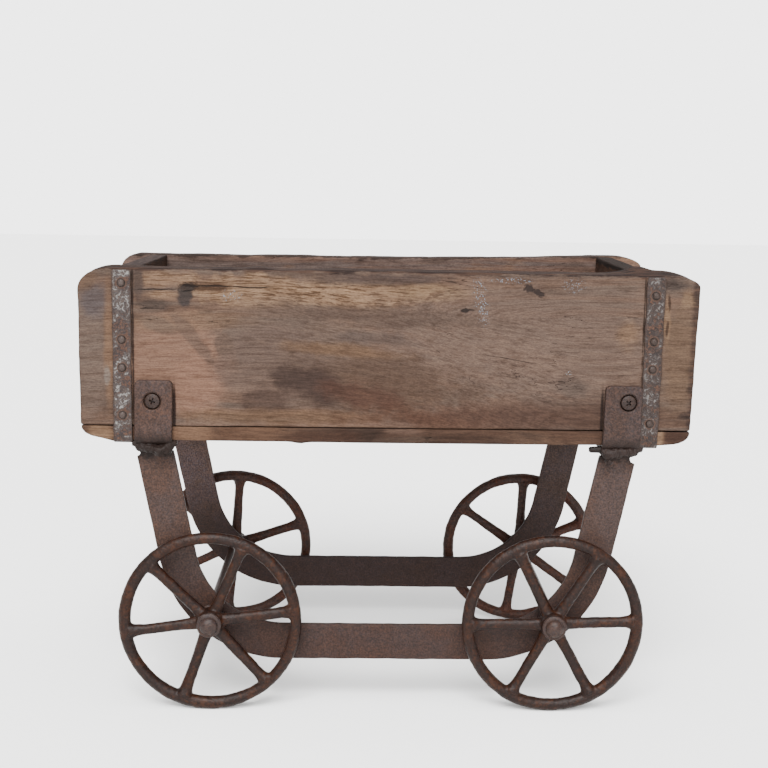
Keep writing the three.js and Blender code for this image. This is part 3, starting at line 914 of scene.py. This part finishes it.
def clasp(name, x, top, thick, width, bend, step, end_corner, lean=0.0, wander=0.0, seed=0.0, edge=0.3):
    """A strip that goes down the near side, under the box and up the far side."""
    middle = HALF_WIDTH + thick / 2
    under = FLOOR_UNDER - thick / 2
    radius = bend - thick / 2

    def frame_of(heading):
        across = Vector((1, 0, 0))
        return across, heading.cross(across)

    def turn(angle):
        return Vector((0, math.cos(angle), math.sin(angle)))

    parts = [
        line_part((x, -middle, top), (x, -middle, under + radius), frame_of),
        arc_part((x, -middle + radius, under + radius), radius, math.pi, math.pi * 1.5, turn, frame_of),
        line_part((x, -middle + radius, under), (x, middle - radius, under), frame_of),
        arc_part((x, middle - radius, under + radius), radius, math.pi * 1.5, math.pi * 2, turn, frame_of),
        line_part((x, middle, under + radius), (x, middle, top), frame_of),
    ]
    points, faces = swept(along_path(parts, step), width / 2, thick / 2, edge, end_corner, wander, seed)
    for point in points:
        point.x += lean * (point.z - under) / (top - under)
    return piece(name, points, faces)


def turned(name, profile, centre, segments=32, facing=1):
    """A round piece about an axle along Y from (radius, y) pairs."""
    points, faces = [], []
    for i in range(segments):
        angle = math.tau * i / segments
        for radius, y in profile:
            points.append((centre[0] + radius * math.cos(angle), centre[1] + facing * y,
                           centre[2] + radius * math.sin(angle)))
    count = len(profile)
    for i in range(segments):
        a, b = i * count, ((i + 1) % segments) * count
        for j in range(count - 1):
            faces.append((a + j, a + j + 1, b + j + 1, b + j))
    return piece(name, points, faces)


def mirrored(half):
    """A whole profile from its half on the far side of nought."""
    return [(radius, -y) for radius, y in reversed(half)] + half


def ball(name, centre, sizes, segments=16):
    """An ellipsoid with three half sizes."""
    shape = bmesh.new()
    bmesh.ops.create_uvsphere(shape, u_segments=segments, v_segments=segments // 2 + 2, radius=1)
    mesh = drawn(name, shape)
    mesh.transform(Matrix.Translation(Vector(centre) * MM) @ Matrix.Diagonal([*[s * MM for s in sizes], 1]))
    return shown(name, mesh)


def cut(obj, cutter):
    """Takes the cutter out of the object."""
    modifier = obj.modifiers.new("cut", "BOOLEAN")
    modifier.operation = "DIFFERENCE"
    modifier.solver = "EXACT"
    modifier.object = cutter
    applied(obj)
    bpy.data.objects.remove(cutter)
    return obj


# Nail head, as (radius, height over the strap)
NAIL_PROFILE = ((0, -0.4), (2.0, -0.4), (2.0, 0.3), (1.8, 0.75), (1.3, 1.15), (0.6, 1.35), (0, 1.35))


def strap(side):
    """A hoop-iron strap with its nail heads, on both sides of the box."""
    data = STRAPS[side]
    lean = data["lean"]
    band = clasp(f"{side}_band", data["x"] - lean / 2, STRAP_TOP, STRAP_THICK, STRAP_WIDTH, 2.2, 1.5,
                 1.2, lean, 0.45, data["x"], 0.35)
    roughened(band, ((0.25, 14), (0.12, 4)))
    parts = [band]
    for face, sign in FACES.items():
        for z in data["nails"]:
            share = (z - FLOOR_UNDER) / (STRAP_TOP - FLOOR_UNDER)
            x = data["x"] - lean / 2 + lean * share
            head = turned("nail", NAIL_PROFILE, (x, sign * (HALF_WIDTH + STRAP_THICK), z), 16, sign)
            parts.append(roughened(head, ((0.3, 2),)))
    obj = smooth_shade(joined(f"{side}_hoop_strap", parts), 50)
    tone = hoop_iron(f"{side}_strap_iron", data["nails"], data["x"],
                     LEFT_STRAP if side == "left" else RIGHT_STRAP, 3 + data["x"] / 50)
    dress(obj, "cart", tone)
    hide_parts(f"{side}_strap")


def saddle(side, iron):
    """A flat bar bent round the box from below, drilled for its screws."""
    x, z, _ = SCREWS[side]
    obj = clasp(f"{side}_bar_saddle", SADDLES[side], SADDLE_TOP, BAR_THICK, BAR_WIDTH, SADDLE_BEND,
                2.0, 2.6, 0.6, 0.25, x / 25, 0.55)
    reach = HALF_WIDTH + BAR_THICK + 2
    lip = HALF_WIDTH + BAR_THICK
    flare = SCREW_HOLE_RADIUS + SCREW_HOLE_FLARE
    profile = mirrored([(SCREW_HOLE_RADIUS, lip - 0.6), (flare, lip), (flare, reach), (0, reach)])
    cut(obj, turned("drill", profile, (x, 0, z), 40))
    smooth_shade(obj, 40)
    dress(obj, "cart", iron)
    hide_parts(f"{side}_saddle")


# Screw head, as (radius, height over its seat)
SCREW_PROFILE = ((0, 0), (3.4, 0), (SCREW_HEAD_RADIUS, 0.9), (SCREW_HEAD_RADIUS, 1.7), (3.8, 2.15),
                 (3.0, 2.45), (1.6, 2.6), (0, 2.65))
SCREW_SEAT = 0.1
# Length and width of the cross's arms at its bottom and at its top, its depth and its middle's height
CROSS_BOTTOM = (2.4, 0.7)
CROSS_TOP = (4.8, 1.05)
CROSS_DEPTH = 3.0
CROSS_MIDDLE = 2.7


def screw(face, side, iron):
    """A cross-head screw with its cross turned by its own angle."""
    sign = FACES[face]
    x, z, turn = SCREWS[side]
    seat = (x, sign * (HALF_WIDTH + SCREW_SEAT), z)
    obj = turned(f"{face}_{side}_screw_head", SCREW_PROFILE, seat, 40, sign)
    for quarter in (0, 90):
        bar = bmesh.new()
        bmesh.ops.create_cube(bar, size=1)
        for vertex in bar.verts:
            length, width = CROSS_BOTTOM if vertex.co.y * sign < 0 else CROSS_TOP
            vertex.co.x *= length
            vertex.co.z *= width
            vertex.co.y *= CROSS_DEPTH
        mesh = drawn("recess", bar)
        place = Matrix.Translation((x, seat[1] + sign * CROSS_MIDDLE, z))
        place = place @ Matrix.Rotation(math.radians(turn + quarter), 4, "Y")
        mesh.transform(Matrix.Scale(MM, 4) @ place)
        cut(obj, shown("recess", mesh))
    smooth_shade(obj, 35)
    dress(obj, "cart", iron)
    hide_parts(f"{face}_{side}_screw")


# Weld lumps along a leg's top: (place from the leg's middle towards the cart's end, height under the
# saddle, radius). bite is the torch mark at the leg's outer corner. WELD_OUT is how far the lumps
# stand out from the rail's middle.
WELDS = {
    "left": {"bite": 2.3, "lumps": ((9.0, -0.6, 2.0), (7.0, 1.0, 2.6), (5.0, 1.4, 3.2), (2.2, 1.4, 3.4),
             (-0.6, 1.8, 3.4), (-4.4, 3.2, 4.0), (-7.2, 2.6, 3.6), (-9.4, 0.6, 2.8), (-11.2, -0.8, 2.2))},
    "right": {"bite": 3.4, "lumps": ((9.4, -0.6, 2.4), (7.0, 0.8, 2.8), (4.6, 1.2, 3.2), (1.8, 1.4, 3.2),
              (-1.0, 1.4, 3.3), (-4.0, 1.8, 3.6), (-6.8, 2.4, 3.6), (-9.0, 1.0, 3.0), (-6.4, 7.4, 2.2))},
}
WELD_OUT = 6


def rail(face, iron):
    """A flat bar bent in its own plane, with torch-cut tops that lean outwards."""
    y = FACES[face] * RAIL_MID_Y
    centre_z = RAIL_UNDER + BAR_WIDTH / 2 + RAIL_BEND_RADIUS

    def frame_of(heading):
        through = Vector((0, 1, 0))
        return through.cross(heading), through

    def turn(angle):
        return Vector((math.cos(angle), 0, math.sin(angle)))

    leave = turn(-LEG_LEAN) * RAIL_BEND_RADIUS
    climb = LEG_TOP + 2 - centre_z - leave.z
    rise = Vector((leave.x + climb * math.tan(LEG_LEAN), 0, leave.z + climb))
    left, right = [Vector((RAIL_BENDS[face][side], y, centre_z)) for side in SIDES]
    under = Vector((0, 0, -RAIL_BEND_RADIUS))
    mirror = Vector((-1, 1, 1))
    parts = [
        line_part(left + rise * mirror, left + leave * mirror, frame_of),
        arc_part(left, RAIL_BEND_RADIUS, math.pi + LEG_LEAN, math.pi * 1.5, turn, frame_of),
        line_part(left + under, right + under, frame_of),
        arc_part(right, RAIL_BEND_RADIUS, math.pi * 1.5, math.tau - LEG_LEAN, turn, frame_of),
        line_part(right + leave, right + rise, frame_of),
    ]
    points, faces = swept(along_path(parts, 2.0), BAR_WIDTH / 2, BAR_THICK / 2, 0.45, 0.0, 0.22, y)
    for point in points:
        point.z = min(point.z, LEG_TOP + 0.6 * noise.noise(Vector((point.x / 4, y, 0))))
    obj = piece(f"{face}_bar_rail", points, faces)
    roughened(obj, ((0.2, 30), (0.08, 6)))
    beads = [obj]
    for side, sign in SIDES.items():
        leg = RAIL_BENDS[face][side] + sign * rise.x
        bite = WELDS[side]["bite"]
        cut(obj, ball("bite", (leg + sign * (BAR_WIDTH / 2 - bite * 0.2), y, LEG_TOP - bite * 0.3),
                      (bite, 6.0, bite)))
        beads.append(weld(side, leg, y + FACES[face] * WELD_OUT))
    obj = smooth_shade(joined(f"{face}_welded_rail", beads), 45)
    dress(obj, "cart", iron)
    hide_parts(f"{face}_rail")


def weld(side, x, y):
    """An uneven bead of melted lumps between a leg's top and the saddle."""
    sign = SIDES[side]
    under = FLOOR_UNDER - BAR_THICK + 1
    lumps = []
    for along, drop, radius in WELDS[side]["lumps"]:
        centre = (x + sign * along, y, under - drop)
        lumps.append(ball("lump", centre, (radius, radius * 1.4, radius), 12))
    obj = fused(joined(f"{side}_weld", lumps), 0.4, 4)
    return roughened(obj, ((0.8, 3.0), (0.3, 1.2)))


# The leftover rod end at the near right weld: its middle, its tilt, and (radius, distance along it)
STUB_PLACE = (116.4, -RAIL_MID_Y - WELD_OUT, 146.9)
STUB_TILT = math.radians(1)
STUB_PROFILE = ((0, -5.6), (1.3, -5.4), (1.75, -4.7), (1.8, -1), (2.1, 3), (2.4, 6), (0, 6.2))


def stub(iron):
    """A short leftover rod end that lies along the box."""
    obj = turned("weld_stub", STUB_PROFILE, (0, 0, 0), 16)
    swing = Matrix.Rotation(math.radians(-90), 4, "Z") @ Matrix.Rotation(STUB_TILT, 4, "X")
    obj.data.transform(Matrix.Translation(Vector(STUB_PLACE) * MM) @ swing)
    roughened(obj, ((0.4, 3), (0.2, 1)))
    dress(smooth_shade(obj), "cart", iron)


def axle(side, iron):
    """A rod through both rails, peened round at its ends."""
    x = SIDES[side] * WHEEL_X
    head = ((AXLE_HEAD_RADIUS, 0.1), (AXLE_HEAD_RADIUS, 0.5), (4.4, 1.4), (3.5, 2.3), (2.1, 2.9),
            (0, AXLE_HEAD_RISE))
    half = [(AXLE_RADIUS, 60), (AXLE_RADIUS, AXLE_SHOULDER)]
    half += [(radius, AXLE_SHOULDER + rise) for radius, rise in head]
    obj = turned(f"{side}_axle_rod", mirrored(half), (x, 0, WHEEL_RADIUS), 32)
    roughened(obj, ((0.25, 3.0), (0.12, 1.2)))
    dress(smooth_shade(obj, 60), "cart", iron)
    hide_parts(f"{side}_axle")


# Each washer's faces, from the cart's middle plane
WASHERS = {"outer": (WHEEL_Y + 6.8, WHEEL_Y + 8.4), "inner": (67.8, 69.7)}


def washers(face, side, iron):
    """The washers outside and inside a hub, with worn edges."""
    sign = FACES[face]
    x = SIDES[side] * WHEEL_X
    for kind, (low, high) in WASHERS.items():
        r = WASHER_RADIUS
        profile = [(WASHER_BORE, low), (r - 0.4, low), (r, low + 0.4), (r, high - 0.5), (r - 0.6, high),
                   (WASHER_BORE, high), (WASHER_BORE, low)]
        obj = turned(f"{face}_{side}_{kind}_disc", profile, (x, 0, WHEEL_RADIUS), 32, sign)
        roughened(obj, ((0.25, 4.0), (0.1, 1.2)))
        dress(smooth_shade(obj, 50), "cart", iron)
        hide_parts(f"{face}_{side}_{kind}_washer")


# A spoke, as (radius, distance from the hub's middle), and how much it is flattened
SPOKE_PROFILE = ((0, 3), (3.7, 3), (3.6, 8), (3.3, 11), (3.1, 15), (3.0, 26), (3.0, 37), (3.2, 40),
                 (3.8, 42.4), (4.6, 44.2), (0, 46.5))
SPOKE_FLATTEN = 0.9
HUB_BEVEL = (1.4, 1.6)


def wheel(face, side, iron):
    """A one-piece casting: rim, six spokes that widen at both ends, and a low hub."""
    key = f"{face}_{side}"
    centre = Vector((SIDES[side] * WHEEL_X, FACES[face] * WHEEL_Y, WHEEL_RADIUS))
    rod = RIM_ROD_RADIUS
    ring = [(WHEEL_RADIUS - rod + rod * math.cos(a), rod * math.sin(a))
            for a in (math.tau * i / 16 for i in range(16))]
    parts = [turned("rim", ring + ring[:1], centre, 120)]
    in_by, down_by = HUB_BEVEL
    hub = [(HUB_RADIUS, HUB_HALF - down_by), (HUB_RADIUS - in_by, HUB_HALF), (0, HUB_HALF)]
    parts.append(turned("hub", mirrored(hub), centre, 40))
    for degrees in SPOKES[key]:
        arm = turned("spoke", SPOKE_PROFILE, (0, 0, 0), 20)
        swing = Matrix.Rotation(math.radians(90 - degrees), 4, "Y") @ Matrix.Rotation(math.pi / 2, 4, "X")
        squeeze = Matrix.Diagonal((1, SPOKE_FLATTEN, 1, 1))
        arm.data.transform(Matrix.Translation(centre * MM) @ squeeze @ swing)
        parts.append(arm)
    obj = fused(joined(f"{key}_casting", parts), 0.6, 4)
    roughened(obj, ((0.4, 38), (0.22, 9), (0.16, 2.5)))
    dress(obj, f"{key}_roller", iron)
    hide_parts(f"{key}_wheel")


def build_cart():
    """Makes every piece and gives it its material. The plank and board seeds only vary their wear."""
    timber = plank("front", 1.3)
    timber.data.materials.append(wood("front_plank_wood", "x", 0, BROWN, FRONT_PATCHES, FRONT_BANDS,
                                      FRONT_KNOTS, FRONT_CRACKS, FRONT_SPECKS, dip=24.0))
    timber = plank("back", 8.1)
    timber.data.materials.append(wood("back_plank_wood", "x", 31, TAN, top=BOX_TOP + 0.4,
                                      rise=BACK_RISE * 0.85))
    floor_board().data.materials.append(wood("floor_wood", "x", 57, EDGE, FLOOR_PATCHES))
    left, right = end_board("left", 5.5), end_board("right", 9.4)
    left.data.materials.append(wood("left_end_wood", "y", 83, LEFT_END, top=END_BOARD_TOP))
    right.data.materials.append(wood("right_end_wood", "y", 91, RIGHT_END, top=END_BOARD_TOP))
    for side in SIDES:
        strap(side)

    # Both rail irons are painted darker towards the foot, as painted shade; the far one is painted lighter
    # overall, as painted light, and its left leg lighter still.
    near_iron = bar_iron("near_bar_iron", "#604a43", "#64483c", 0, weld=True, low=(0.71, 0.64, 0.62))
    far_iron = bar_iron("far_bar_iron", "#69524d", "#684f45", 20, weld=True, low=(0.5, 0.42, 0.4),
                        left=(1.72, 1.8, 1.88))
    left_iron = bar_iron("left_saddle_iron", "#614941", "#62463a", 40, weld=True)
    right_iron = bar_iron("right_saddle_iron", "#58433d", "#594036", 50, weld=True)
    small_iron = bar_iron("small_iron", "#54403a", "#5f4336", 60, rough=0.45)
    screw_iron = bar_iron("screw_iron", "#4c3b36", "#4d382f", 70, rough=0.45)
    # The stub's near-black iron is painted shade: the stub sits in the shade under the box.
    stub_shade_iron = bar_iron("stub_shade_iron", "#2a1f1c", "#2e1f19", 80)
    for side in SIDES:
        saddle(side, left_iron if side == "left" else right_iron)
        axle(side, small_iron)
        for face in FACES:
            screw(face, side, screw_iron)
            washers(face, side, small_iron)
            # The far wheels are painted much lighter than the near ones, as painted light on the same
            # casting, which stands further back in shade.
            tones = ("#38221a", "#452616") if face == "front" else ("#5f433a", "#6c4131")
            wheel(face, side, cast_iron(f"{face}_{side}_cast_iron", *tones, SIDES[side] * 3 + FACES[face]))
    rail("front", near_iron)
    rail("back", far_iron)
    stub(stub_shade_iron)


# Studio

CAMERA_PLACE = (-18.2, -760.6, 287.8)
CAMERA_YAW = math.radians(-1.44)
CAMERA_PITCH = math.radians(8.775)
CAMERA_ROLL = math.radians(0.94)
CAMERA_LENS = 60.94


def add_camera():
    """The camera of the main view, a little left of the middle and a little above."""
    data = bpy.data.cameras.new("view")
    data.lens = CAMERA_LENS
    data.sensor_width = 36
    data.clip_start = 0.05
    data.clip_end = 50
    camera = shown("view", data)
    turn = Matrix.Rotation(CAMERA_YAW, 4, "Z") @ Matrix.Rotation(math.pi / 2 - CAMERA_PITCH, 4, "X")
    turn = turn @ Matrix.Rotation(CAMERA_ROLL, 4, "Z")
    camera.matrix_world = Matrix.Translation(Vector(CAMERA_PLACE) * MM) @ turn
    bpy.context.scene.camera = camera


def add_sun(name, toward, strength, spread):
    """A soft light from far away. spread is its width in degrees."""
    data = bpy.data.lights.new(name, "SUN")
    data.energy = strength
    data.angle = math.radians(spread)
    light = shown(name, data)
    light.rotation_mode = "QUATERNION"
    light.rotation_quaternion = Vector(toward).to_track_quat("-Z", "Y")


# Brightness of the white room: what it lights with, and how it looks behind the floor
SKY_FILL = 1.05
SKY_SEEN = 4.0


def add_studio():
    """A pale floor in a white room with three soft lights."""
    mesh = bpy.data.meshes.new("studio_floor")
    half = 6.0
    corners = [(-half, -half, 0), (half, -half, 0), (half, half, 0), (-half, half, 0)]
    mesh.from_pydata(corners, [], [(0, 1, 2, 3)])
    floor = shown("studio_floor", mesh)
    mesh.materials.append(pale_floor())
    world = bpy.data.worlds.new("studio")
    world.use_nodes = True
    sky = world.node_tree
    sky.nodes["Background"].inputs["Color"].default_value = (1, 1, 1, 1)
    seen = sky.nodes.new("ShaderNodeLightPath").outputs["Is Camera Ray"]
    glow = sky.nodes.new("ShaderNodeMapRange")
    glow.inputs["To Min"].default_value = SKY_FILL
    glow.inputs["To Max"].default_value = SKY_SEEN
    sky.links.new(seen, glow.inputs["Value"])
    sky.links.new(glow.outputs[0], sky.nodes["Background"].inputs["Strength"])
    bpy.context.scene.world = world
    add_sun("key", (0.2, 1, -1.15), 7.8, 35)
    add_sun("front", (-0.15, 1, -0.3), 2.7, 50)
    add_sun("top", (0, 0.2, -1), 2.6, 60)


add_camera()
add_studio()
build_cart()
